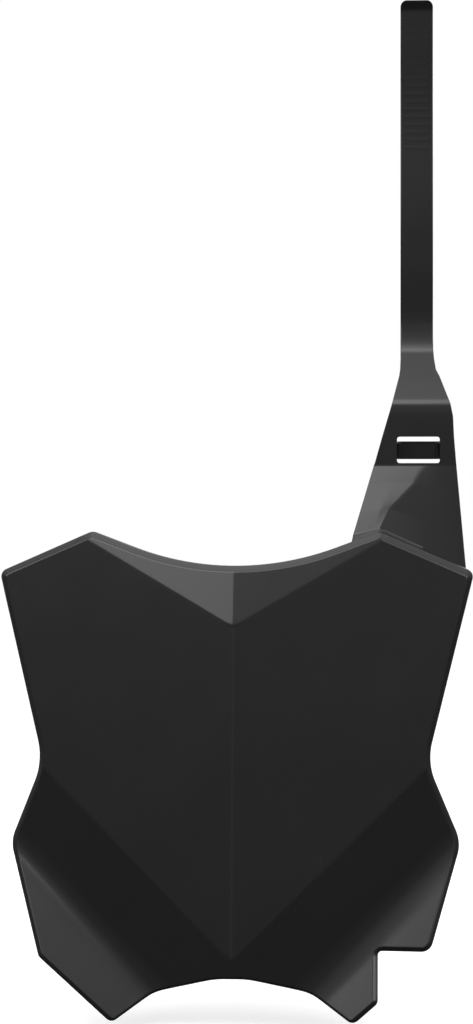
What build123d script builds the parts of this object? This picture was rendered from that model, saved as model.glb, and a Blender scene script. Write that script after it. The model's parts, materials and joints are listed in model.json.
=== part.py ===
"""Front number plate of a motocross motorcycle, moulded with its handlebar strap.

The plate is a V-shaped shell with a scooped top edge, two forward-turned lower wings, a return lip all
round and a brake hose notch. A flared bracket rises behind its upper corner on the rider's left. It has a
window with a keeper loop behind it, and ends in a flexible strap with a toothed tail. Millimetres and
degrees. X is across, -Y is the front and +Z is up. The origin lies midway between the two mounting holes.
"""

from build123d import *
from math import atan, cos, radians, sin, tan
import os

os.makedirs("parts", exist_ok=True)

# ---- Driving sizes -------------------------------------------------------------------------------
wall = 2.4             # moulded wall
lip_depth = 9.0        # return lip round the plate, square to the face
rim_bevel = 1.8        # bevel between the face and the lip

# The ridge foot is the lowest point of the centre ridge. Heights on the plate are measured from it.
foot_back = -30.0      # its Y, in front of the mounting holes
foot_up = -40.0        # its Z, below the mounting holes
v_angle = 11.5         # each side sweeps back from the ridge
lean_angle = 7.5       # the ridge leans back

# Outline of the plate's right half: (across, up) from the ridge foot, and the corner's radius.
arch_height = -6.9
arch_radius = 50.0
arch_knee = (39.0, -17.4, 25.0)
wing_tip = (60.0, -31.9, 4.0)
wing_heel = (97.2, -0.6, 3.4)
wing_side = (113.9, 54.9, 16.0)
waist = (96.9, 95.8, 32.0)
shoulder = (120.9, 191.0, 4.0)
peak = (73.1, 211.7, 3.4)
scoop_height = 194.3
scoop_radius = 147.0
scoop_turn = 19.1      # the arc turns this far each side before it runs straight to the peak

# Brake hose notch in the wing on the strap's side.
notch_across = 72.2
notch_up = 2.8
notch_inner_radius = 2.0
notch_outer_radius = 6.0
notch_tip_radius = 3.0

# Facets below the scoop: they start at a V across the face and turn back to the rim.
v_bottom_up = 164.6
v_end = (73.6, 207.0)
scoop_turn_back = 9.0

# Lower wings: a band folded back along a diagonal crease, then a hollow turned forward to the edge.
crease_angle = 43.9
band_width = 33.0
band_fold = 14.0
hollow_radius = 18.0
hollow_turn = 36.0

# Mounting lugs behind the plate, each a holed shelf under two gussets.
lug_spacing = 60.0
lug_width = 18.0
lug_thickness = 4.0
lug_hole_radius = 3.3
gusset_thickness = 2.6
gusset_height = 13.0
gusset_reach = 4.0     # the gussets end this far in front of the hole

# Levels of the strap bracket, up from the ridge foot, and how far back its front lies at each.
root_up = 209.8
root_back = 50.0
flat_bottom_up = 245.5
flat_top_up = 277.0
flat_back = 64.0
band_bottom_up = 303.5
band_back = 81.0
strap_foot_up = 311.0
bracket_wall = 3.0

# How far across its edges lie at those levels, and its foot behind the lip, as (across, up).
flat_bottom_edges = (70.0, 112.1)
flat_top_edges = (79.2, 109.1)
bracket_left = ((59.5, 209.8), (63.7, 227.6))
bracket_right = ((113.6, 227.6), (115.7, 202.1))
bracket_neck = (106.9, 283.5)
bracket_foot = ((113.0, 187.0), (73.0, 204.4), (55.4, 197.4))
fold_start = (73.0, 51.2, 212.8)     # the fold up the bracket, as (across, back, up)
fold_side = (116.8, 57.0, 193.0)     # a point of the facet right of the fold

# Strap, made of rigid links that stand for one flexible band.
strap_centre = 92.0
strap_width = 16.8
strap_thickness = 2.2
strap_hinge_up = 324.0               # the first flexing line
strap_tip_up = 486.4
link_pitch = 9.0
link_count = 9
link_clearance = 0.12                # round each flexing line
tip_radius = 4.0
tip_bevel = 1.2
tooth_pitch = 4.0
tooth_tip_margin = 16.1              # plain length above the last tooth
tooth_foot_margin = 5.3              # plain length of the tail below the first tooth
tooth_side_margin = 1.9
tooth_height = 0.35
tooth_width = 1.2

# Window, and the keeper loop behind it that holds the strap's tail.
window_centre = (92.7, 253.25)
window_clearance = 5.0               # wider than the strap
window_height = 13.5
window_radius = 1.2
keeper_height = 9.2
keeper_clearance = 2.4               # deeper than the strap
keeper_bar = 2.2
keeper_leg = 2.4

FAR = 400.0            # past every face of the part
REACH_BACK = 150.0

# ---- Planes ---------------------------------------------------------------------------------------
ridge_foot = Vector(0, foot_back, foot_up)
front_view = Plane(origin=ridge_foot, x_dir=(1, 0, 0), z_dir=(0, -1, 0))
side_view = Plane(origin=ridge_foot, x_dir=(0, 1, 0), z_dir=(1, 0, 0))

sweep = tan(radians(v_angle))
lean = tan(radians(lean_angle))
face_normal = Vector(sweep, -1, lean).normalized()
crease_run = cos(radians(crease_angle))
crease_rise = sin(radians(crease_angle))
crease = Vector(crease_run, crease_run * sweep + crease_rise * lean, crease_rise).normalized()
down_face = face_normal.cross(crease).normalized()
if down_face.Z > 0:
    down_face = -down_face
crease_view = Plane(origin=ridge_foot, x_dir=down_face, z_dir=down_face.cross(face_normal))


def face_point(across, up):
    """The point of the main face at that place in the front view."""
    return ridge_foot + Vector(across, across * sweep + up * lean, up)


v_bottom = face_point(0, v_bottom_up)
v_top = face_point(*v_end)
rim_middle = ridge_foot + Vector(0, v_bottom_up * lean + scoop_turn_back, scoop_height - rim_bevel)
facet_normal = (v_top - v_bottom).cross(rim_middle - v_bottom).normalized()


# ---- Plate shell ----------------------------------------------------------------------------------
def corner(sketch, place, radius):
    """Rounds the sketch's corner that is nearest to a place on its own plane."""
    fillet(sketch.vertices().sort_by_distance(Vector(*place))[0], radius)


def plate_outline(grow=0.0):
    """The plate's front view, grown or shrunk, on the origin's own plane."""
    turn = radians(scoop_turn)
    arc_end = (scoop_radius * sin(turn), scoop_height + scoop_radius * (1 - cos(turn)))
    corners = (arch_knee, wing_tip, wing_heel, wing_side, waist, shoulder, peak)
    tip_rise = (wing_heel[1] - wing_tip[1]) / (wing_heel[0] - wing_tip[0])
    notch_tip_up = wing_tip[1] + (notch_across - wing_tip[0]) * tip_rise
    side_run = (wing_side[0] - wing_heel[0]) / (wing_side[1] - wing_heel[1])
    notch_side_across = wing_heel[0] + (notch_up - wing_heel[1]) * side_run
    with BuildSketch() as outline:
        with BuildLine():
            CenterArc((0, scoop_height + scoop_radius), scoop_radius, -90, scoop_turn)
            Polyline((0, scoop_height), (0, arch_height), *[c[:2] for c in corners], arc_end)
        make_face()
        for across, up, radius in corners:
            corner(outline, (across, up), radius)
        mirror(about=Plane.YZ)
        corner(outline, (0, arch_height), arch_radius)
        with Locations((notch_across, notch_up)):
            Rectangle(FAR, FAR, align=(Align.MIN, Align.MAX), mode=Mode.SUBTRACT)
        corner(outline, (notch_across, notch_up), notch_inner_radius)
        corner(outline, (notch_side_across, notch_up), notch_outer_radius)
        corner(outline, (notch_across, notch_tip_up), notch_tip_radius)
        if grow:
            offset(amount=grow, kind=Kind.INTERSECTION)
    return outline.sketch


def front_body(set_back=0.0):
    """All that lies behind the plate's front surface, once that is moved back square to itself."""
    band_end = Vector(band_width * cos(radians(band_fold)), -band_width * sin(radians(band_fold)))
    band_way = Vector(cos(radians(band_fold)), -sin(radians(band_fold)))
    with BuildPart() as body:
        with BuildSketch(crease_view):
            with BuildLine():
                face_line = Line((-FAR, 0), (0, 0))
                band_line = Line((0, 0), (band_end.X, band_end.Y))
                hollow = JernArc(band_line @ 1, band_way, hollow_radius, hollow_turn)
                flare = Line(hollow @ 1, hollow @ 1 + (hollow % 1) * FAR / 4)
                behind = -REACH_BACK - 3 * set_back  # stays deeper than the block once it is offset
                Polyline(flare @ 1, ((flare @ 1).X, behind), (-FAR, behind), face_line @ 0)
            make_face()
            if set_back:
                offset(amount=-set_back, kind=Kind.INTERSECTION)
        extrude(amount=FAR, both=True)
        split(bisect_by=Plane.YZ, keep=Keep.TOP)
        facet = Plane(origin=v_bottom - facet_normal * set_back, z_dir=facet_normal)
        split(bisect_by=facet, keep=Keep.BOTTOM)
        mirror(about=Plane.YZ)
    return body.part


def plate_block(grow=0.0, set_back=0.0):
    """The plate's outline carried back from its front surface, with no hollow."""
    outline = plate_outline(grow)
    body = front_body(set_back)
    with BuildPart() as block:
        with BuildSketch(front_view):
            add(outline)
        extrude(amount=REACH_BACK, both=True)
        add(body, mode=Mode.INTERSECT)
    return block.part


def front_rim(block):
    """The edges round a block's front surface."""
    fronts = block.faces().filter_by(lambda face: face.normal_at().Y < -0.3)
    edges = [edge for face in fronts for edge in face.edges()]
    return [edge for edge in edges if sum(edge.is_same(other) for other in edges) == 1]


behind_wall = plate_block(-wall, wall)
with BuildPart() as plate_shell:
    add(plate_block())
    chamfer(front_rim(plate_shell.part), rim_bevel)
    add(behind_wall, mode=Mode.SUBTRACT)
    add(plate_block(wall, lip_depth), mode=Mode.SUBTRACT)
plate_shell.part.label = "plate_shell"
export_step(plate_shell.part, "parts/plate_shell.step")


# ---- Mounting lugs --------------------------------------------------------------------------------
def mounting_lug(across):
    """A shelf with an upright hole, held to the back of the face by two gussets above it."""
    with BuildPart() as lug:
        with BuildSketch(Plane.XY):
            with Locations((across, 0)):
                Rectangle(lug_width, -foot_back, align=(Align.CENTER, Align.MAX))
                Circle(lug_width / 2)
        extrude(amount=lug_thickness)
        for side in (-1, 1):
            inner = across + side * (lug_width / 2 - gusset_thickness / 2)
            with BuildSketch(Plane.YZ.offset(inner)):
                with BuildLine():
                    Polyline(
                        (foot_back, lug_thickness),
                        (-gusset_reach, lug_thickness),
                        (foot_back + gusset_height, lug_thickness + gusset_height),
                        (foot_back, lug_thickness + gusset_height),
                        close=True,
                    )
                make_face()
            extrude(amount=gusset_thickness / 2, both=True)
        add(behind_wall, mode=Mode.INTERSECT)
        with BuildSketch(Plane.XY):
            with Locations((across, 0)):
                Circle(lug_hole_radius)
        extrude(amount=lug_thickness, mode=Mode.SUBTRACT)
    return lug


for name, side in (("mounting_lug_right", 1), ("mounting_lug_left", -1)):
    lug = mounting_lug(side * lug_spacing / 2)
    lug.part.label = name
    export_step(lug.part, f"parts/{name}.step")


# ---- Strap bracket --------------------------------------------------------------------------------
def bracket_front():
    """All that lies behind the bracket's front surface."""
    run = (flat_back - root_back) / (flat_bottom_up - root_up)
    low = FAR / 2
    with BuildPart() as body:
        with BuildSketch(side_view):
            with BuildLine():
                Polyline(
                    (flat_back - run * low, flat_bottom_up - low),
                    (flat_back, flat_bottom_up),
                    (flat_back, flat_top_up),
                    (band_back, band_bottom_up),
                    (band_back, FAR),
                    (REACH_BACK, FAR),
                    (REACH_BACK, flat_bottom_up - low),
                    close=True,
                )
            make_face()
        extrude(amount=FAR)
        with BuildPart(mode=Mode.SUBTRACT):
            with BuildSketch(Plane.XY.offset(foot_up + flat_bottom_up)):
                Rectangle(2 * FAR, 2 * FAR)
            extrude(amount=-FAR)
            fold_end = (flat_bottom_edges[1], flat_back, flat_bottom_up)
            corners = [ridge_foot + Vector(*place) for place in (fold_start, fold_end, fold_side)]
            turned = Plane(origin=corners[0], z_dir=(corners[1] - corners[0]).cross(corners[2] - corners[0]))
            split(bisect_by=turned, keep=Keep.TOP if turned.z_dir.Y < 0 else Keep.BOTTOM)
    return body.part


window_width = strap_width + window_clearance
bracket_body = bracket_front()
with BuildPart() as strap_bracket:
    half = strap_width / 2
    with BuildSketch(front_view):
        with BuildLine():
            Polyline(
                *bracket_left,
                (flat_bottom_edges[0], flat_bottom_up),
                (flat_top_edges[0], flat_top_up),
                (strap_centre - half, band_bottom_up - bracket_wall),
                (strap_centre - half, strap_foot_up),
                (strap_centre + half, strap_foot_up),
                (strap_centre + half, band_bottom_up - bracket_wall),
                bracket_neck,
                (flat_top_edges[1], flat_top_up),
                (flat_bottom_edges[1], flat_bottom_up),
                *bracket_right,
                *bracket_foot,
                close=True,
            )
        make_face()
    extrude(amount=-REACH_BACK)
    add(bracket_body, mode=Mode.INTERSECT)
    add(bracket_body.moved(Location((0, bracket_wall, 0))), mode=Mode.SUBTRACT)
    with BuildSketch(front_view):
        with Locations(window_centre):
            RectangleRounded(window_width, window_height, window_radius)
    extrude(amount=-REACH_BACK, mode=Mode.SUBTRACT)
    add(plate_shell.part, mode=Mode.SUBTRACT)
strap_bracket.part.label = "strap_bracket"
export_step(strap_bracket.part, "parts/strap_bracket.step")

flat_rear = foot_back + flat_back + bracket_wall
keeper_gap = strap_thickness + keeper_clearance
with BuildPart() as strap_keeper:
    with BuildSketch(Plane.XZ.offset(-flat_rear)):
        with Locations((window_centre[0], foot_up + window_centre[1])):
            Rectangle(window_width + 2 * keeper_leg, keeper_height)
    extrude(amount=-(keeper_gap + keeper_bar))
    fillet(strap_keeper.edges().filter_by(Axis.Z).group_by(Axis.Y)[-1], keeper_bar)
    with BuildSketch(Plane.XZ.offset(-flat_rear)):
        with Locations((window_centre[0], foot_up + window_centre[1])):
            Rectangle(window_width, keeper_height)
    extrude(amount=-keeper_gap, mode=Mode.SUBTRACT)
strap_keeper.part.label = "strap_keeper"
export_step(strap_keeper.part, "parts/strap_keeper.step")


# ---- Strap ----------------------------------------------------------------------------------------
strap_back = foot_back + band_back + strap_thickness / 2
strap_view = Plane(origin=(strap_centre, strap_back, 0), x_dir=(0, 1, 0), z_dir=(1, 0, 0))


def strap_piece(bottom, top, nose=True, socket=True):
    """A length of strap between two flexing lines: a round nose below and a hollow socket above."""
    radius = strap_thickness / 2
    with BuildPart() as piece:
        with BuildSketch(strap_view):
            with Locations((0, bottom)):
                Rectangle(strap_thickness, top - bottom, align=(Align.CENTER, Align.MIN))
                if nose:
                    Circle(radius)
            if socket:
                with Locations((0, top)):
                    Circle(radius + link_clearance, mode=Mode.SUBTRACT)
        extrude(amount=strap_width / 2, both=True)
    return piece


hinge_lines = [foot_up + strap_hinge_up + step * link_pitch for step in range(link_count + 1)]
strap_root = strap_piece(foot_up + strap_foot_up, hinge_lines[0], nose=False)
strap_root.part.label = "strap_root"
export_step(strap_root.part, "parts/strap_root.step")

for number in range(link_count):
    link = strap_piece(hinge_lines[number], hinge_lines[number + 1])
    link.part.label = f"strap_link_{number + 1:02d}"
    export_step(link.part, f"parts/{link.part.label}.step")

with BuildPart() as strap_tail:
    add(strap_piece(hinge_lines[-1], foot_up + strap_tip_up, socket=False).part)
    chamfer(strap_tail.edges().filter_by(Axis.X).group_by(Axis.Z)[-1].sort_by(Axis.Y)[0], tip_bevel)
    with BuildSketch(Plane.XZ.offset(-strap_back)) as tip_outline:
        with Locations((strap_centre, foot_up + strap_tip_up)):
            Rectangle(strap_width, FAR / 2, align=(Align.CENTER, Align.MAX))
        fillet(tip_outline.vertices().group_by(Axis.Y)[-1], tip_radius)
    extrude(amount=strap_thickness, both=True, mode=Mode.INTERSECT)
    tooth_last = foot_up + strap_tip_up - tooth_tip_margin
    tooth_count = int((tooth_last - hinge_lines[-1] - tooth_foot_margin) / tooth_pitch + 1.001)
    with BuildSketch(Plane.XZ.offset(-(strap_back - strap_thickness / 2))):
        with Locations(*[(strap_centre, tooth_last - step * tooth_pitch) for step in range(tooth_count)]):
            Rectangle(strap_width - 2 * tooth_side_margin, tooth_width)
    extrude(amount=tooth_height)
strap_tail.part.label = "strap_tail"
export_step(strap_tail.part, "parts/strap_tail.step")
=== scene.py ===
"""A motocross front number plate with its moulded handlebar strap, in a plain studio.

Shapes are worked out in millimetres from the ridge foot, the lowest point of the plate's centre ridge:
across (x), back (y) and up (z). They are turned into metres in the row frame when a mesh is made.
"""
import json
from math import cos, radians, sin, tan

import bmesh
import bpy
import numpy as np
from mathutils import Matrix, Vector

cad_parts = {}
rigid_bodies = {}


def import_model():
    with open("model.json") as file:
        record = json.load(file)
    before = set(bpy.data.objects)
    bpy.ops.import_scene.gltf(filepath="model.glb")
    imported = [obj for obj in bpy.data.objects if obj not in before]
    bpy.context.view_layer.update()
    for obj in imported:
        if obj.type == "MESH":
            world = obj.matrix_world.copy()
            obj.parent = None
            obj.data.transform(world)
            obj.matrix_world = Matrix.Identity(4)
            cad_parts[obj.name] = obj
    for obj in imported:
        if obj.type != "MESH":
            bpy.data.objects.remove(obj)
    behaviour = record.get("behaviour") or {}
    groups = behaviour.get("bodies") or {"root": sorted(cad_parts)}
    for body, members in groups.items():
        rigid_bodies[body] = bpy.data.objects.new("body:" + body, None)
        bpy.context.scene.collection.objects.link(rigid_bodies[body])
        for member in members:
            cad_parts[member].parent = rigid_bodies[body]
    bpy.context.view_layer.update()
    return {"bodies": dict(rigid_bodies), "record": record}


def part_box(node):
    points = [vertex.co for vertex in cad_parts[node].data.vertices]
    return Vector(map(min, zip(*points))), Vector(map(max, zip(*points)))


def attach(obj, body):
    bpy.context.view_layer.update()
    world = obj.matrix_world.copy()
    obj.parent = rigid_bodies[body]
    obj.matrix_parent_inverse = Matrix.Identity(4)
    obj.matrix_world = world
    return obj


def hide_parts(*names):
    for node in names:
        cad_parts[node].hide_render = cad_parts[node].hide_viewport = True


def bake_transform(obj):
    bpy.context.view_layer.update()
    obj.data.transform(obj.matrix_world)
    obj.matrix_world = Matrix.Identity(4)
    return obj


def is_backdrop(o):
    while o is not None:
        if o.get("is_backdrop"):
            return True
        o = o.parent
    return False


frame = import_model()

scene = bpy.context.scene

# ---- Where things are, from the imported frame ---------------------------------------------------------
MM = 0.001
TIP_DROP = 30.874                       # the wing tips hang this far below the ridge foot
plate_low = np.array(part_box("plate_shell")[0]) / MM
RIDGE_FOOT = np.array([0.0, plate_low[1], plate_low[2] + TIP_DROP])
STRAP_LINKS = sorted(name for name in frame["bodies"] if name.startswith("strap_link"))
STRAP_BODIES = ["plate", *STRAP_LINKS, "strap_tail"]
HINGES = [np.array(joint["pos_m"]) / MM - RIDGE_FOOT for joint in frame["record"]["behaviour"]["joints"]]
root_low, root_high = (np.array(corner) / MM - RIDGE_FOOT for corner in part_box("strap_root"))
tail_high = np.array(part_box("strap_tail")[1]) / MM - RIDGE_FOOT


# ---- Curves and rounding -----------------------------------------------------------------------------
def rounded_path(corners, closed=False, steps=24):
    """A path through corners (x, y, radius), each replaced by an arc that touches both its sides.

    The arc starts radius x tan(half the turn) before the corner, and its points are the corner's circle
    taken at even angles between the two sides' normals.
    """
    points = np.array([corner[:2] for corner in corners], float)
    count = len(points)
    path = []
    for i, (x, y, radius) in enumerate(corners):
        if radius == 0 or (not closed and i in (0, count - 1)):
            path.append([[x, y]])
            continue
        before = points[i] - points[i - 1]
        after = points[(i + 1) % count] - points[i]
        before, after = before / np.hypot(*before), after / np.hypot(*after)
        turn = np.arctan2(before[0] * after[1] - before[1] * after[0], before @ after)
        side = np.sign(turn)
        start = points[i] - before * radius * tan(abs(turn) / 2)
        middle = start + side * radius * np.array([-before[1], before[0]])
        angle = np.arctan2(*(start - middle)[::-1]) + turn * np.linspace(0, 1, steps)
        path.append(middle + radius * np.stack([np.cos(angle), np.sin(angle)], -1))
    return np.concatenate(path)


def even_points(path, count):
    """A closed path resampled to points that are evenly spaced along it."""
    loop = np.concatenate([path, path[:1]])
    run = np.concatenate([[0], np.cumsum(np.hypot(*np.diff(loop, axis=0).T))])
    places = np.linspace(0, run[-1], count, endpoint=False)
    return np.stack([np.interp(places, run, loop[:, axis]) for axis in (0, 1)], -1)


def inward(path):
    """Unit vectors that point into a closed clockwise path, square to its neighbours' chord."""
    along = np.roll(path, -1, 0) - np.roll(path, 1, 0)
    along /= np.hypot(*along.T)[:, None]
    return np.stack([along[:, 1], -along[:, 0]], -1)


def smooth_step(low, high, value):
    """0 below low, 1 above high and 3t^2 - 2t^3 between."""
    t = np.clip((value - low) / (high - low), 0, 1)
    return t * t * (3 - 2 * t)


def soft_max(a, b, softness):
    """The larger of two, with the corner where they cross rounded off."""
    return 0.5 * (a + b + np.sqrt((a - b) ** 2 + softness ** 2))


def lerp(a, b, t):
    return a + (b - a) * t


# ---- The plate's front surface -----------------------------------------------------------------------
SWEEP = tan(radians(11.5))              # back for each step across
LEAN = tan(radians(7.5))                # back for each step up
CREASE = radians(43.9)                  # the wings' crease, up from level
BAND, BAND_FOLD = 33.0, radians(14.0)   # the band below the crease: its width, and how far it folds back
CREASE_ROUND, BAND_END_ROUND = 7.0, 8.0
BAND_END_PLAIN = 2.0                    # plain length between the band's end and the hollow
HOLLOW_START = radians(6.0)
HOLLOW_HIGH, HOLLOW_LOW = (17.0, radians(32.0)), (27.0, radians(31.5))     # radius, turn
HOLLOW_ENDS = 125.0, 22.0               # along the crease, where the hollow's high and low ends are
RIDGE_SOFT, RIDGE_CRISP = 1.5, 0.22     # rounding of the ridge below the V and between the facets
FACET_SOFT = 0.07
WALL = 2.4
LIP = 9.0
DEEPER = 1.03                           # depth straight back for each step square to the wall
PLATE_POINTS = 720                      # points around the plate's outline
# The rim's bevel: most of the way, near the top, extra at the top of the right slope, and along the bottom.
RIM_BEVEL, TOP_BEVEL, SLOPE_BEVEL, BOTTOM_BEVEL = 2.3, 2.85, 0.6, 1.2
V_BOTTOM = np.array([0, 164.6 * LEAN, 164.6])
V_TOP = np.array([73.6, 73.6 * SWEEP + 207.0 * LEAN, 207.0])
SCOOP_MIDDLE = np.array([0, 164.6 * LEAN + 9.0, 192.5])
MIDDLE = np.array([0.0, 90.0])          # the rings of the plate's mesh close in on this place


def wing_profile(hollow, hollow_turn):
    """The front surface cut square to the crease, as (below the crease, back, along the crease).

    In that cut the face runs straight to the crease, a band folds back, a slight crease starts a hollow, and
    the hollow turns it forward into a straight flare. Each point of the cut is p steps down the face plus q
    steps out of it.
    """
    face_out = np.array([SWEEP, -1, LEAN])
    face_out /= np.linalg.norm(face_out)
    along = np.array([cos(CREASE), cos(CREASE) * SWEEP + sin(CREASE) * LEAN, sin(CREASE)])
    along_length = np.linalg.norm(along)
    down = np.cross(along / along_length, face_out)
    down *= -np.sign(down[2])
    start = BAND_FOLD - HOLLOW_START
    end = start - hollow_turn
    lead = BAND_END_PLAIN + hollow * tan(hollow_turn / 2)
    edge = np.array([BAND * cos(BAND_FOLD), -BAND * sin(BAND_FOLD)])
    bend = edge + lead * np.array([cos(start), -sin(start)])
    cut = rounded_path([
        (-400, 0, 0),
        (0, 0, CREASE_ROUND),
        (*edge, BAND_END_ROUND),
        (*bend, hollow),
        (bend[0] + 200 * cos(end), bend[1] - 200 * sin(end), 0),
    ], steps=60)
    place = cut[:, :1] * down + cut[:, 1:] * face_out
    below = place[:, 0] * sin(CREASE) - place[:, 2] * cos(CREASE)
    beside = place[:, 0] * cos(CREASE) + place[:, 2] * sin(CREASE)
    return below, place[:, 1] - beside * along[1], along[1]


HIGH_BELOW, HIGH_BACK, WING_RUN = wing_profile(*HOLLOW_HIGH)
LOW_BELOW, LOW_BACK = wing_profile(*HOLLOW_LOW)[:2]
FACET_OUT = np.cross(V_TOP - V_BOTTOM, SCOOP_MIDDLE - V_BOTTOM)


def front_back(x, z):
    """How far back the plate's front lies at a place in its front view.

    It is read from two wing profiles by distance below the crease, one giving way to the other down the wing
    so that the hollow widens, plus the crease's own run back. Where the facets under the scoop lie further
    back it is the facets. The centre ridge is rounded by sqrt(x^2 + e^2), with a sharper e between the facets.
    """
    edge = lerp(RIDGE_SOFT, RIDGE_CRISP, smooth_step(V_BOTTOM[2] - 1, V_BOTTOM[2] + 3, z))
    across = np.sqrt(x * x + edge ** 2)
    below = across * sin(CREASE) - z * cos(CREASE)
    beside = across * cos(CREASE) + z * sin(CREASE)
    high, low = np.interp(below, HIGH_BELOW, HIGH_BACK), np.interp(below, LOW_BELOW, LOW_BACK)
    down = np.clip((beside - HOLLOW_ENDS[0]) / (HOLLOW_ENDS[1] - HOLLOW_ENDS[0]), 0, 1)
    surface = lerp(high, low, down) + beside * WING_RUN
    facet = -(FACET_OUT[0] * across + FACET_OUT[2] * (z - V_BOTTOM[2])) / FACET_OUT[1] + V_BOTTOM[1]
    return soft_max(surface, facet, FACET_SOFT)


OUTLINE_RIGHT = [
    (73.1, 211.7, 3.4), (120.9, 191.0, 4.0), (96.9, 95.8, 32.0), (113.9, 54.9, 16.0),
    (98.22, 2.8, 6.0), (72.2, 2.8, 2.0), (72.2, -21.7, 3.0), (60.0, -31.9, 4.0), (39.0, -17.4, 25.0),
]
OUTLINE_LEFT = [
    (39.0, -17.4, 25.0), (60.0, -31.9, 4.0), (97.2, -0.6, 3.4), (113.9, 54.9, 16.0), (96.9, 95.8, 32.0),
    (120.9, 191.0, 4.0), (73.1, 211.7, 3.4),
]


def plate_outline(count):
    """The plate's front view, clockwise from the middle of the scoop."""
    left = [(-x, z, radius) for x, z, radius in OUTLINE_LEFT]
    corners = [(0, 184.5, 146.5), *OUTLINE_RIGHT, (0, -6.9, 50.0), *left]
    return even_points(rounded_path(corners, closed=True), count)


# ---- Meshes ------------------------------------------------------------------------------------------
def grid_faces(rows, columns, closed_rows=False, flip=False, first=0):
    """The quads between neighbouring rows and columns of a grid, whose rows may be closed loops."""
    last = columns if closed_rows else columns - 1
    row, column = np.meshgrid(np.arange(rows - 1), np.arange(last), indexing="ij")
    beside = (column + 1) % columns
    here, above = row * columns, (row + 1) * columns
    quads = np.stack([here + column, here + beside, above + beside, above + column], -1).reshape(-1, 4)
    return (quads[:, ::-1] if flip else quads) + first


def new_piece(name, places, faces, body=None, sharp=None):
    """A mesh object from places in millimetres and a list of arrays of faces with equal sides."""
    mesh = bpy.data.meshes.new(name)
    corners = np.concatenate([face.ravel() for face in faces])
    sides = np.concatenate([np.full(len(face), face.shape[1]) for face in faces])
    mesh.vertices.add(len(places))
    mesh.vertices.foreach_set("co", ((places + RIDGE_FOOT) * MM).astype(np.float32).ravel())
    mesh.loops.add(len(corners))
    mesh.loops.foreach_set("vertex_index", corners.astype(np.int32))
    mesh.polygons.add(len(sides))
    mesh.polygons.foreach_set("loop_start", (np.cumsum(sides) - sides).astype(np.int32))
    mesh.update(calc_edges=True)
    mesh.validate()
    mesh.shade_smooth()
    if sharp is not None:
        mesh.set_sharp_from_angle(angle=radians(sharp))
    piece = bpy.data.objects.new(name, mesh)
    scene.collection.objects.link(piece)
    if body:
        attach(piece, body)
    return piece


def rings(outline, shares):
    """The outline drawn in towards the middle by each share, as an array of rings."""
    return MIDDLE + (outline - MIDDLE)[None] * np.asarray(shares)[:, None, None]


def place_rings(flat, back):
    """Front-view rings and their depths, as places."""
    return np.stack([flat[..., 0], back, flat[..., 1]], -1)


def crease_lines():
    """Lines of the front view on which the plate's mesh is cut so that its creases stay crisp.

    They come as one list for the ridge and one for the right half. Each line is a (place, direction square
    to it), and each crease has one on it and some beside it.
    """
    ridge = [((step, 0.0), (1.0, 0.0)) for step in (-3.2, -1.6, -0.8, -0.25, 0.0, 0.25, 0.8, 1.6, 3.2)]
    facet_way = np.array([V_TOP[2] - V_BOTTOM[2], -V_TOP[0]])
    facet_way /= np.hypot(*facet_way)
    wing_way = np.array([sin(CREASE), -cos(CREASE)])
    edge = BAND * cos(BAND_FOLD)
    half = [((0, V_BOTTOM[2]) + facet_way * step, facet_way) for step in (-0.85, -0.4, 0.0, 0.4, 0.85)]
    half += [(wing_way * step, wing_way)
             for step in (-1.3, -0.85, 0.0, 0.85, 1.3, edge - 1.0, edge - 0.4, edge + 0.4, edge + 1.0)]
    return ridge, half


def cut_creases(places, faces):
    """Splits a mesh, still flat in its front view, along the crease lines; gives places and faces back."""
    mesh = bpy.data.meshes.new("flat")
    mesh.from_pydata(places.tolist(), [], [face.tolist() for group in faces for face in group])
    work = bmesh.new()
    work.from_mesh(mesh)

    def cut(geometry, lines, side=1):
        for (x, z), (way_x, way_z) in lines:
            geometry = bmesh.ops.bisect_plane(work, geom=geometry, dist=0.01, plane_co=(x * side, 0, z),
                                              plane_no=(way_x * side, 0, way_z))["geom"]

    ridge, half = crease_lines()
    cut([*work.verts, *work.edges, *work.faces], ridge)
    for side in (-1, 1):
        sheet = [face for face in work.faces if face.calc_center_median().x * side > 0]
        edges = {edge for face in sheet for edge in face.edges}
        verts = {vert for face in sheet for vert in face.verts}
        cut([*verts, *edges, *sheet], half, side)
    work.verts.index_update()
    places = np.array([vert.co[:] for vert in work.verts])
    sides = {}
    for face in work.faces:
        sides.setdefault(len(face.verts), []).append([vert.index for vert in face.verts])
    work.free()
    bpy.data.meshes.remove(mesh)
    return places, [np.array(group) for group in sides.values()]


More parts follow.
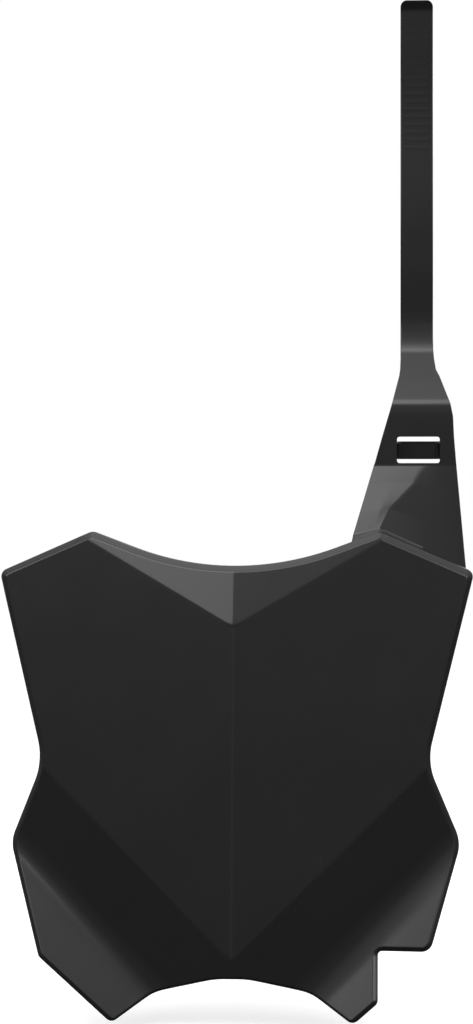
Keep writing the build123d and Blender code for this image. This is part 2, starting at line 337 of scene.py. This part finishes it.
def plate_skin():
    """The whole plate as one closed skin: front, rim bevel, lip, and the wall's back.

    Each ring is the outline moved in by a distance, and pushed back from the front surface. The rim's
    profile across the edge is a list of (in, back) steps with both of its corners rounded. The mesh is cut
    along the creases while each place's depth is only its push back, and then gets the front's own depth.
    """
    count = PLATE_POINTS
    outline = plate_outline(count)
    inner = inward(outline)
    across, up = outline.T
    bevel = lerp(RIM_BEVEL, TOP_BEVEL, smooth_step(178, 192, up))
    bevel += SLOPE_BEVEL * smooth_step(73, 76, across) * smooth_step(186, 192, up)
    bottom = lerp(BOTTOM_BEVEL, bevel, smooth_step(57, 62, np.abs(across)))
    bevel = np.where(up < 20, bottom, bevel)
    profile = rounded_path([
        (1.175, 0.0, 0), (1.0, 0.0, 0.49), (0.0, 0.8, 0.35), (0.0, 3.9, 0), (0.0, 4.0, 0.1),
    ], steps=5)
    edge_in, edge_back = profile.T
    rim_flat = outline[None] + inner[None] * (edge_in[:, None] * bevel)[..., None]
    shares = np.concatenate([np.linspace(0, 0.4, 12)[1:], np.linspace(0.4, 0.985, 42)[1:], [0.9965]])
    face_flat = rings(rim_flat[0], shares)
    lip_steps = [
        (0, LIP - 0.5), (0.15, LIP - 0.12), (0.5, LIP), (WALL - 0.5, LIP), (WALL - 0.12, LIP - 0.12),
        (WALL, LIP - 0.5), (WALL, WALL + 1.5), (WALL + 0.5, WALL + 0.4), (WALL + 1.6, WALL),
    ]
    lip_in, lip_back = np.array(lip_steps).T
    lip_flat = outline[None] + inner[None] * lip_in[:, None, None]
    wall_shares = np.concatenate([np.linspace(1, 0.5, 25)[1:], np.linspace(0.5, 0, 9)[1:-1]])
    wall_flat = rings(lip_flat[-1], wall_shares)
    wall_depth = WALL * DEEPER
    places = np.concatenate([
        [[0, 0, MIDDLE[1]]],
        place_rings(face_flat, np.zeros(face_flat.shape[:2])).reshape(-1, 3),
        place_rings(rim_flat, edge_back[:, None] * bevel).reshape(-1, 3),
        place_rings(lip_flat, np.repeat(lip_back[:, None] * DEEPER, count, 1)).reshape(-1, 3),
        place_rings(wall_flat, np.full(wall_flat.shape[:2], wall_depth)).reshape(-1, 3),
        [[0, wall_depth, MIDDLE[1]]],
    ])
    rows = len(face_flat) + len(rim_flat) + len(lip_flat) + len(wall_flat)
    around, beside = np.arange(count), (np.arange(count) + 1) % count
    pole, last_ring = 1 + rows * count, 1 + (rows - 1) * count
    front_fan = np.stack([np.zeros(count, int), 1 + beside, 1 + around], -1)
    back_fan = np.stack([np.full(count, pole), last_ring + around, last_ring + beside], -1)
    grid = grid_faces(rows, count, True, first=1)
    places, faces = cut_creases(places, [front_fan, grid, back_fan])
    places[:, 1] += front_back(places[:, 0], places[:, 2])
    skin = new_piece("plate_skin", places, faces, "plate")
    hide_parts("plate_shell")


# ---- Strap bracket -----------------------------------------------------------------------------------
BRACKET_WALL = 3.0
EDGE_ROUND, EDGE_SEGMENTS = 0.5, 3
WINDOW = (81.8, 103.6, 246.5, 260.0)    # left, right, bottom, top
WINDOW_ROUND, WINDOW_OVERLAP = 1.3, 0.02
STRAP_MIDDLE = (root_low[0] + root_high[0]) / 2
STRAP_HALF = (root_high[0] - root_low[0]) / 2
STRAP_THICK = root_high[1] - root_low[1]
STRAP_TIP = tail_high[2]
FLAT_BACK, SLANT_FOOT, SLANT_TOP, BRACKET_TOP = 64.0, 277.0, 303.4, 311.0
# Rows of the bracket from its foot up, each with its left edge, window left, fold, window right and right
# edge: below its flat as (across, back, up), and from there on as the row's up and then its five across.
SLOPE_ROWS = [
    [(58.6, 46.5, 205.4), (66.5, 47.0, 208.3), (73.1, 47.5, 210.2), (101.0, 50.6, 198.4), (116.0, 53.0, 192.0)],
    [(59.5, 50.0, 209.8), (69.5, 50.9, 212.0), (73.0, 51.2, 212.8), (102.5, 55.1, 199.5), (116.8, 57.0, 193.0)],
    [(62.9, 54.5, 221.4), (73.5, 55.1, 222.9), (78.3, 55.5, 223.4), (102.9, 58.0, 214.4), (115.3, 59.3, 210.0)],
    [(67.1, 60.2, 235.7), (78.4, 60.5, 236.3), (91.5, 60.7, 236.5), (103.3, 61.6, 232.9), (113.4, 62.1, 231.1)],
]
FLAT_ROWS = [
    (245.5, 70.0, 81.8, 95.5, 103.6, 112.1),
    (246.5, 70.4, 81.8, 95.0, 103.6, 112.0),
    (260.0, 74.2, 81.8, 91.0, 103.6, 110.9),
    (270.5, 77.3, 83.2, 92.6, 104.4, 110.4),
    (277.0, 79.2, 84.0, 93.5, 104.6, 109.1),
    (291.5, 82.9, 85.9, 92.3, 99.6, 103.6),
    (295.0, 83.4, 86.4, 92.1, 98.2, 101.8),
    (300.5, 83.6, 86.5, 92.0, 97.5, 100.9),
    (305.5, 83.6, 86.5, 92.0, 97.5, 100.5),
    (311.0, 83.6, 86.5, 92.0, 97.5, 100.4),
]
BRACKET_ROWS = SLOPE_ROWS + [[(across, FLAT_BACK, up) for across in row] for up, *row in FLAT_ROWS]
ROW_STEPS = [3, 16, 18, 12, 3, 12, 15, 9, 22, 6, 8, 8, 9]
COLUMN_STEPS = [8, 6, 12, 10]
WINDOW_ROWS, WINDOW_COLUMNS = (5, 6), (1, 3)                # the key rows and columns at the window's sides
# The run of the bracket's slant and the strap, as (up, back for each step up).
STRAP_RUN = [
    (200, 0), (264, 0), (271, 0.05), (275.6, 0.18), (276.8, 0.33), (278.2, 0.47), (279.4, 0.57), (302.8, 0.57),
    (304.6, 0.5), (306.3, 0.31), (308.5, 0.27), (311, 0.235), (313.5, 0.195), (316, 0.15), (318.5, 0.10),
    (320.5, 0.03), (323, -0.04), (327, -0.09), (334, -0.10), (344, -0.065), (356, -0.005), (375, 0.055),
    (392, 0.08), (408, 0.08), (425, 0.05), (442, 0.0), (458, -0.04), (480.5, -0.05), (483, -0.55), (490, -0.55),
]


def strap_back(z):
    """How far back the bracket's flat, its slant and the strap's front lie: the run added up from the flat."""
    up = np.linspace(250, 490, 2401)
    run = np.interp(up, *np.transpose(STRAP_RUN))
    back = np.concatenate([[0], np.cumsum((run[1:] + run[:-1]) / 2 * np.diff(up))])
    return FLAT_BACK + np.interp(z, up, back)


def columns_between(rows, steps):
    """Places from key columns (rows, keys, 3): each gap between keys is divided evenly into its steps."""
    pieces = [lerp(rows[:, i, None], rows[:, i + 1, None], np.linspace(0, 1, step + 1)[:-1][None, :, None])
              for i, step in enumerate(steps)]
    return np.concatenate([*pieces, rows[:, -1:]], 1)


def bracket_grid():
    """The bracket's front: key rows joined by straight lines, and above the window the strap's run."""
    keys = columns_between(np.array(BRACKET_ROWS, float), COLUMN_STEPS)
    grid = np.swapaxes(columns_between(np.swapaxes(keys, 0, 1), ROW_STEPS), 0, 1)
    above = grid[..., 2] > WINDOW[3]
    grid[..., 1] = np.where(above, strap_back(grid[..., 2]), grid[..., 1])
    return grid


def strap_bracket():
    """The bracket's sheet, with its window, from the front grid and the same grid moved straight back.

    The sheet thins to the strap's thickness on its way up the slant, and the bevel on its edges leaves out
    its top end, where the strap goes on.
    """
    front = bracket_grid()
    rows, columns = front.shape[:2]
    row_marks = np.concatenate([[0], np.cumsum(ROW_STEPS)])
    column_marks = np.concatenate([[0], np.cumsum(COLUMN_STEPS)])
    bottom, top = (row_marks[i] for i in WINDOW_ROWS)
    left, right = (column_marks[i] for i in WINDOW_COLUMNS)
    back = front.copy()
    back[..., 1] += lerp(BRACKET_WALL, STRAP_THICK, smooth_step(SLANT_FOOT, SLANT_TOP, front[..., 2]))
    faces = grid_faces(rows, columns).reshape(rows - 1, columns - 1, 4)
    solid = np.ones((rows - 1, columns - 1), bool)
    solid[bottom:top, left:right] = False
    sheet = faces[solid]
    places = np.concatenate([front.reshape(-1, 3), back.reshape(-1, 3)])
    offset = rows * columns
    index = np.arange(offset).reshape(rows, columns)
    rim = np.concatenate([index[::-1, 0], index[0, 1:], index[1:, -1]])
    end = index[-1, ::-1]
    hole = np.concatenate([
        index[bottom, left:right], index[bottom:top, right], index[top, right:left:-1],
        index[top:bottom:-1, left], index[bottom, left:left + 1],
    ])
    walls = [np.stack([line[1:], line[:-1], line[:-1] + offset, line[1:] + offset], -1)
             for line in (rim, end)]
    inner_wall = np.stack([hole[:-1], hole[1:], hole[1:] + offset, hole[:-1] + offset], -1)
    faces = [sheet, sheet[:, ::-1] + offset, *walls, inner_wall]
    bracket = new_piece("strap_bracket_skin", places, faces, "plate", sharp=50)
    runs = [np.stack([line[:-1], line[1:]], -1) + back_step
            for line in (rim, hole) for back_step in (0, offset)]
    rounded_edges(bracket, EDGE_ROUND, np.concatenate(runs))
    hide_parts("strap_bracket")


def rounded_edges(piece, width, edges):
    """A bevel on the given edges (pairs of places) of a piece."""
    mesh = piece.data
    pairs = np.empty(len(mesh.edges) * 2, np.int32)
    mesh.edges.foreach_get("vertices", pairs)
    keys = np.sort(pairs.reshape(-1, 2), 1) @ [len(mesh.vertices), 1]
    wanted = np.sort(edges, 1) @ [len(mesh.vertices), 1]
    weight = mesh.attributes.new("bevel_weight_edge", "FLOAT", "EDGE")
    weight.data.foreach_set("value", np.isin(keys, wanted).astype(np.float32))
    bevel = piece.modifiers.new("edge rounding", "BEVEL")
    bevel.width = width * MM
    bevel.segments = EDGE_SEGMENTS
    bevel.limit_method = "WEIGHT"
    bevel.harden_normals = True


def window_corners():
    """Four slivers that round the window's corners: each fills the space between a corner and its arc."""
    steps = 9
    angle = np.linspace(0, np.pi / 2, steps)
    left, right, bottom, top = WINDOW
    depth = np.array([FLAT_BACK, FLAT_BACK + BRACKET_WALL])
    places, fans, walls, first = [], [], [], 0
    for x, z, way_x, way_z in (
        (left, bottom, 1, 1), (right, bottom, -1, 1), (right, top, -1, -1), (left, top, 1, -1),
    ):
        arc_x = x + way_x * WINDOW_ROUND * (1 - np.sin(angle))
        arc_z = z + way_z * WINDOW_ROUND * (1 - np.cos(angle))
        hub = np.array([[x - way_x * WINDOW_OVERLAP, z - way_z * WINDOW_OVERLAP]])
        flat = np.concatenate([hub, np.stack([arc_x, arc_z], -1)])
        count = len(flat)
        places += [place_rings(flat, np.full(count, y)) for y in depth]
        fan = np.stack([np.zeros(steps - 1, int), np.arange(1, steps), np.arange(2, steps + 1)], -1) + first
        wall = grid_faces(2, count, True, flip=True) + first
        if way_x * way_z < 0:
            fan, wall = fan[:, ::-1], wall[:, ::-1]
        fans += [fan, fan[:, ::-1] + count]
        walls.append(wall)
        first += 2 * count
    faces = [np.concatenate(fans), np.concatenate(walls)]
    new_piece("window_corners", np.concatenate(places), faces, "plate", sharp=50)


def swept_bar(path, section):
    """A closed section carried along a level path.

    Each place is the path's, plus the section's first size along the path's level normal and its second up.
    """
    along = np.gradient(path, axis=0)
    along /= np.hypot(*along.T)[:, None]
    normal = np.stack([-along[:, 1], along[:, 0]], -1)
    level = path[:, None] + normal[:, None] * section[None, :, :1]
    up = np.broadcast_to(section[None, :, 1], level.shape[:2])
    return np.stack([level[..., 0], level[..., 1], up], -1)


def end_caps(rows, columns):
    """The two many-sided faces that close the ends of a grid whose rows are closed loops."""
    return np.stack([np.arange(columns)[::-1], np.arange(columns) + (rows - 1) * columns])


# The keeper's bar: its thickness, the rounding of its run, and how much thinner it is at its lower edge.
KEEPER_BAR, KEEPER_ROUND, KEEPER_TAPER = 2.2, 4.2, 0.45


def strap_keeper():
    """The loop behind the window: a flat bar with rounded corners, and a leg at each end."""
    low, high = (np.array(corner) / MM - RIDGE_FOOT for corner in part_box("strap_keeper"))
    bar, middle_up, half_up = KEEPER_BAR, (low[2] + high[2]) / 2, (high[2] - low[2]) / 2
    x0, x1, y1 = low[0] + bar / 2, high[0] - bar / 2, high[1] - bar / 2
    path = rounded_path([
        (x0, low[1], 0), (x0, y1, KEEPER_ROUND), (x1, y1, KEEPER_ROUND), (x1, low[1], 0),
    ], steps=12)
    path = np.concatenate([
        lerp(path[:1], path[1:2], np.linspace(0, 1, 5)[:-1, None]),
        path[1:-1],
        lerp(path[-2:-1], path[-1:], np.linspace(0, 1, 5)[1:, None]),
    ])
    section = rounded_path([
        (KEEPER_TAPER - bar / 2, -half_up, 0.5), (bar / 2, -half_up, 0.6),
        (bar / 2, half_up, 0.6), (-bar / 2, half_up, 1.4),
    ], closed=True, steps=8)
    places = swept_bar(path, section + np.array([0, middle_up]))
    rows, columns = places.shape[:2]
    faces = [grid_faces(rows, columns, True), end_caps(rows, columns)]
    keeper = new_piece("strap_keeper_skin", places.reshape(-1, 3), faces, "plate", sharp=70)
    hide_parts("strap_keeper")


# ---- Strap -------------------------------------------------------------------------------------------
# The grip teeth: their pitch, their number, how far below the tip the last one is, and their height.
TOOTH_PITCH, TOOTH_COUNT, TOOTH_MARGIN, TOOTH_HEIGHT = 4.0, 16, 16.1, 0.05
TOOTH_FADE = 2.4, 1.4                   # in from the strap's sides, where the teeth start to fade and end
# The tip: its corners' rounding, how far down its faces round over, and the share of thickness at its end.
TIP_ROUND, TIP_BEVEL, TIP_SHARE = 3.3, 0.5, 0.6
SIDE_BAND, SIDE_ROUND = 0.6, 0.55       # how far in from the strap's sides its flats end; the sides' rounding
FLAT_POINTS = 22                        # points across each flat of the strap
STRAP_STEP = 0.5                        # up, between the rows of the strap's mesh
# A reach each side of a hinge, just under half the shortest gap between hinges.
FLEX_REACH = 0.47 * min(high[2] - low[2] for low, high in zip(HINGES, HINGES[1:]))


def tooth_height(x, z):
    """The grip teeth's height: a raised cosine at each pitch, fading out near the strap's sides."""
    last = STRAP_TIP - TOOTH_MARGIN
    first = last - (TOOTH_COUNT - 1) * TOOTH_PITCH
    wave = np.clip(np.cos((z - first) / TOOTH_PITCH * 2 * np.pi), 0, 1) ** 1.5
    inside = (z > first - 1.0) & (z < last + 1.0)
    fade = smooth_step(STRAP_HALF - TOOTH_FADE[0], STRAP_HALF - TOOTH_FADE[1], np.abs(x))
    return TOOTH_HEIGHT * wave * inside * (1 - fade)


def strap_section():
    """The strap cut across: a flat bar with rounded sides, its front divided finely."""
    half, edge = STRAP_THICK / 2, STRAP_HALF - SIDE_BAND
    flat = np.linspace(-edge, edge, FLAT_POINTS)
    side = rounded_path([
        (edge, -half, 0), (STRAP_HALF, -half, SIDE_ROUND), (STRAP_HALF, half, SIDE_ROUND), (edge, half, 0),
    ], steps=6)
    front, back = (np.stack([flat, np.full(FLAT_POINTS, y)], -1) for y in (-half, half))
    return np.concatenate([front[:-1], side, back[::-1][1:-1], (side[::-1] * [-1, 1])[:-1]])


def strap_length(name, bottom, top, hinge_up, replaced, tip=False):
    """A length of strap: its section carried up its run, with teeth on its front.

    Near the tip the half width shrinks as a quarter circle does, and both faces round over to the end.
    """
    up = np.linspace(bottom, top, int(round((top - bottom) / STRAP_STEP)) + 1)
    if tip:
        round_up = top - TIP_ROUND * (1 - np.sin(np.linspace(0, np.pi / 2, 20)))
        up = np.concatenate([up[up < top - TIP_ROUND], round_up])
    section = strap_section()
    half = STRAP_THICK / 2
    x = np.broadcast_to(section[None, :, 0], (len(up), len(section))).copy()
    y = np.broadcast_to(section[None, :, 1], x.shape).copy()
    z = np.broadcast_to(up[:, None], x.shape)
    y -= tooth_height(x, z) * (y < -half + 0.01)
    if tip:
        rise = np.clip(z - (top - TIP_ROUND), 0, TIP_ROUND)
        x *= (STRAP_HALF - TIP_ROUND + np.sqrt(np.clip(TIP_ROUND ** 2 - rise ** 2, 0, None))) / STRAP_HALF
        turn = np.clip(z - (top - TIP_BEVEL), 0, TIP_BEVEL) / TIP_BEVEL
        y *= lerp(TIP_SHARE, 1, np.sqrt(1 - turn ** 2))
    places = np.stack([x + STRAP_MIDDLE, y + half + strap_back(z), z], -1)
    rows, columns = places.shape[:2]
    faces = [grid_faces(rows, columns, True), end_caps(rows, columns)]
    piece = new_piece(name, places.reshape(-1, 3), faces, sharp=60)
    middle = float(strap_back(hinge_up)) + half
    start, end = ((RIDGE_FOOT + [STRAP_MIDDLE, middle, hinge_up + reach]) * MM
                  for reach in (-FLEX_REACH, FLEX_REACH))
    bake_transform(piece)
    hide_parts(*replaced)


def strap():
    """The strap, cut halfway between its flexing lines so that each length holds one of them."""
    ups = [hinge[2] for hinge in HINGES]
    cuts = [BRACKET_TOP, *[(low + high) / 2 for low, high in zip(ups, ups[1:])], STRAP_TIP]
    for i, hinge_up in enumerate(ups):
        parent, child = STRAP_BODIES[i], STRAP_BODIES[i + 1]
        last = i == len(ups) - 1
        replaced = ["strap_root"] if i == 0 else [parent]
        if last:
            replaced.append("strap_tail")
        name = "strap_tail_skin" if last else f"strap_length_{i + 1:02d}"
        strap_length(name, cuts[i], cuts[i + 1], hinge_up, replaced, last)


# ---- Materials ---------------------------------------------------------------------------------------
class Shade:
    """A socket of a material's nodes. Arithmetic on it adds Math nodes."""

    def __init__(self, tree, socket):
        self.tree, self.socket = tree, socket

    def node(self, kind, settings=None, out=0, **sockets):
        """Adds a node: its settings are set first, then the values or links of its sockets."""
        node = self.tree.nodes.new(kind)
        for name, value in (settings or {}).items():
            if name == "stops":
                ramp = node.color_ramp
                for i, (place, colour) in enumerate(value):
                    stop = ramp.elements[i] if i < len(ramp.elements) else ramp.elements.new(place)
                    stop.position, stop.color = place, colour
            else:
                setattr(node, name, value)
        for name, value in sockets.items():
            socket = node.inputs[int(name[1:])] if name[1:].isdigit() else node.inputs[name.replace("_", " ")]
            if isinstance(value, Shade):
                self.tree.links.new(value.socket, socket)
            else:
                socket.default_value = value
        return Shade(self.tree, node.outputs[out] if node.outputs else None)

    def maths(self, operation, other, swap=False):
        first, second = (other, self) if swap else (self, other)
        return self.node("ShaderNodeMath", {"operation": operation}, _0=first, _1=second)

    def __add__(self, other):
        return self.maths("ADD", other)

    def __radd__(self, other):
        return self.maths("ADD", other, swap=True)

    def __mul__(self, other):
        return self.maths("MULTIPLY", other)

    def __rmul__(self, other):
        return self.maths("MULTIPLY", other, swap=True)


def mixed(mask, first, second):
    """A colour between two, by a mask."""
    return mask.node("ShaderNodeMix", {"data_type": "RGBA"}, out=2, _0=mask, _6=first, _7=second)


PLASTIC = (0.0092, 0.0093, 0.0096, 1)
PLASTIC_PALER = (0.0122, 0.0123, 0.0127, 1)
PLASTIC_RUBBED = (0.024, 0.024, 0.025, 1)


def moulded_plastic():
    """Satin black polypropylene: fine spark texture, faint rubbing, and a slightly uneven sheen."""
    material = bpy.data.materials.new("satin_black_plastic")
    material.use_nodes = True
    tree = material.node_tree
    tree.nodes.clear()
    start = Shade(tree, None)
    place = start.node("ShaderNodeTexCoord", out=3)
    grain = start.node("ShaderNodeTexNoise", Vector=place, Scale=2600.0, Detail=3.0, Roughness=0.6)
    soft = start.node("ShaderNodeTexNoise", Vector=place, Scale=28.0, Detail=4.0, Roughness=0.55)
    streak_place = start.node("ShaderNodeMapping", Vector=place, Scale=(900.0, 900.0, 26.0),
                              Rotation=(0.2, 0.35, 0.1))
    streak = start.node("ShaderNodeTexNoise", Vector=streak_place, Scale=1.0, Detail=2.0)
    rubbed = start.node("ShaderNodeMapRange", Value=streak, _1=0.62, _2=0.85, _3=0.0, _4=1.0)
    patch = start.node("ShaderNodeMapRange", Value=soft, _1=0.42, _2=0.7, _3=0.0, _4=1.0)
    wear = rubbed * patch
    colour = mixed(soft, PLASTIC, PLASTIC_PALER)
    colour = mixed(wear * 0.3, colour, PLASTIC_RUBBED)
    roughness = 0.16 + 0.05 * soft + 0.03 * grain + 0.08 * wear
    bump = start.node("ShaderNodeBump", Strength=0.05, Distance=0.0001, Height=grain + 0.6 * soft)
    surface = start.node("ShaderNodeBsdfPrincipled", Base_Color=colour, Roughness=roughness, Normal=bump,
                         Specular_IOR_Level=0.5)
    start.node("ShaderNodeOutputMaterial", Surface=surface)
    return material


def plain_material(name, colour, roughness):
    material = bpy.data.materials.new(name)
    material.use_nodes = True
    shader = material.node_tree.nodes["Principled BSDF"]
    shader.inputs["Base Color"].default_value = (*colour, 1)
    shader.inputs["Roughness"].default_value = roughness
    return material


# ---- Studio ------------------------------------------------------------------------------------------
LENS = 105.47
EYE, EYE_TURN = (80.1, -1472.9, 221.46), radians(3)


def camera():
    """A long lens a little above the plate's top, looking level and turned slightly."""
    data = bpy.data.cameras.new("camera")
    data.lens = LENS
    data.clip_end = 20
    eye = bpy.data.objects.new("camera", data)
    eye.location = tuple((RIDGE_FOOT + EYE) * MM)
    eye.rotation_euler = (radians(90), 0, EYE_TURN)
    scene.collection.objects.link(eye)
    scene.camera = eye


def soft_light(name, place, target, size, power):
    """A rectangular softbox at a place in metres, facing a target."""
    data = bpy.data.lights.new(name, "AREA")
    data.shape = "RECTANGLE"
    data.size, data.size_y = size
    data.energy = power
    lamp = bpy.data.objects.new(name, data)
    lamp.location = place
    lamp.rotation_euler = (Vector(target) - Vector(place)).to_track_quat("-Z", "Y").to_euler()
    scene.collection.objects.link(lamp)


# How bright the room is at angles above the horizon, in degrees.
ROOM_LEVELS = [
    (-90, 0.05), (-30, 0.09), (-12, 0.16), (-3, 0.15), (1, 0.27), (5, 0.18), (10, 0.21), (15, 0.38),
    (25, 0.55), (40, 0.75), (60, 1.1), (90, 1.9),
]
LOW_BEHIND = (0.5, 0.5, 0.5, 1)         # the low part of the room behind the object
FLOOR_DROP, FLOOR_REACH = 0.004, 6.0    # in metres
# Softboxes: name, place, what it faces, size in metres, brightness.
SOFTBOXES = [
    ("key", (-0.39, -0.80, 0.78), (0.0, 0.0, 0.15), (0.5, 0.54), 1.9),
    ("high", (-0.12, -0.66, 1.04), (0.03, 0.0, 0.25), (0.6, 0.42), 3.3),
    ("left side", (-1.30, -0.85, 0.98), (0.0, 0.0, 0.0), (0.7, 0.7), 3.8),
    ("right side", (1.34, -0.85, 0.95), (0.0, 0.0, 0.0), (1.0, 0.95), 2.7),
    ("front", (-0.05, -2.6, 0.35), (0.0, 0.0, 0.2), (0.5, 1.4), 0.15),
    ("behind", (0.7, 1.3, 1.0), (0.0, 0.0, 0.15), (1.2, 0.9), 2.2),
]


def sin_place(angle):
    """Where an angle above the horizon falls on a ramp that runs from straight down to straight up."""
    return (sin(radians(angle)) + 1) / 2


def studio():
    """A pale floor and softboxes in a room that the camera sees as plain white.

    What the object mirrors is dark low down, grey low behind the object, and bright overhead.
    """
    world = bpy.data.worlds.new("studio")
    scene.world = world
    world.use_nodes = True
    tree = world.node_tree
    tree.nodes.clear()
    start = Shade(tree, None)
    way = start.node("ShaderNodeTexCoord", out=0)
    height = start.node("ShaderNodeSeparateXYZ", out=2, Vector=way)
    behind = start.node("ShaderNodeSeparateXYZ", out=1, Vector=way)
    stops = [(sin_place(angle), (level, level, level, 1)) for angle, level in ROOM_LEVELS]
    tone = start.node("ShaderNodeValToRGB", {"stops": stops}, Fac=height * 0.5 + 0.5)
    low = start.node("ShaderNodeMapRange", Value=height, _1=0.35, _2=-0.05, _3=0.0, _4=1.0)
    far = start.node("ShaderNodeMapRange", Value=behind, _1=0.15, _2=0.55, _3=0.0, _4=1.0)
    tone = mixed(low * far, tone, LOW_BEHIND)
    seen = start.node("ShaderNodeLightPath", out=0)
    white = mixed(seen, tone, (1.0, 1.0, 1.0, 1))
    light = start.node("ShaderNodeBackground", Color=white, Strength=1.0)
    start.node("ShaderNodeOutputWorld", Surface=light)

    up = float(plate_low[2]) * MM - FLOOR_DROP
    mesh = bpy.data.meshes.new("floor")
    corners = [(x * FLOOR_REACH, y * FLOOR_REACH, up) for x, y in ((-1, -1), (1, -1), (1, 1), (-1, 1))]
    mesh.from_pydata(corners, [], [(0, 1, 2, 3)])
    floor = bpy.data.objects.new("floor", mesh)
    scene.collection.objects.link(floor)
    paper = plain_material("floor_paper", (0.93, 0.93, 0.93), 0.9)
    shader = paper.node_tree.nodes["Principled BSDF"]
    shader.inputs["Emission Color"].default_value = (1, 1, 1, 1)
    shader.inputs["Emission Strength"].default_value = 0.25
    mesh.materials.append(paper)
    floor.visible_glossy = False
    floor.visible_diffuse = False
    for name, place, target, size, level in SOFTBOXES:
        soft_light(name, place, target, size, level * np.pi * size[0] * size[1])
    scene.view_settings.view_transform = "Standard"
    scene.view_settings.look = "None"


camera()
plate_skin()
strap_bracket()
window_corners()
strap_keeper()
strap()
plastic = moulded_plastic()
for thing in list(scene.objects):
    if thing.type == "MESH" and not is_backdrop(thing):
        thing.data.materials.clear()
        thing.data.materials.append(plastic)
studio()
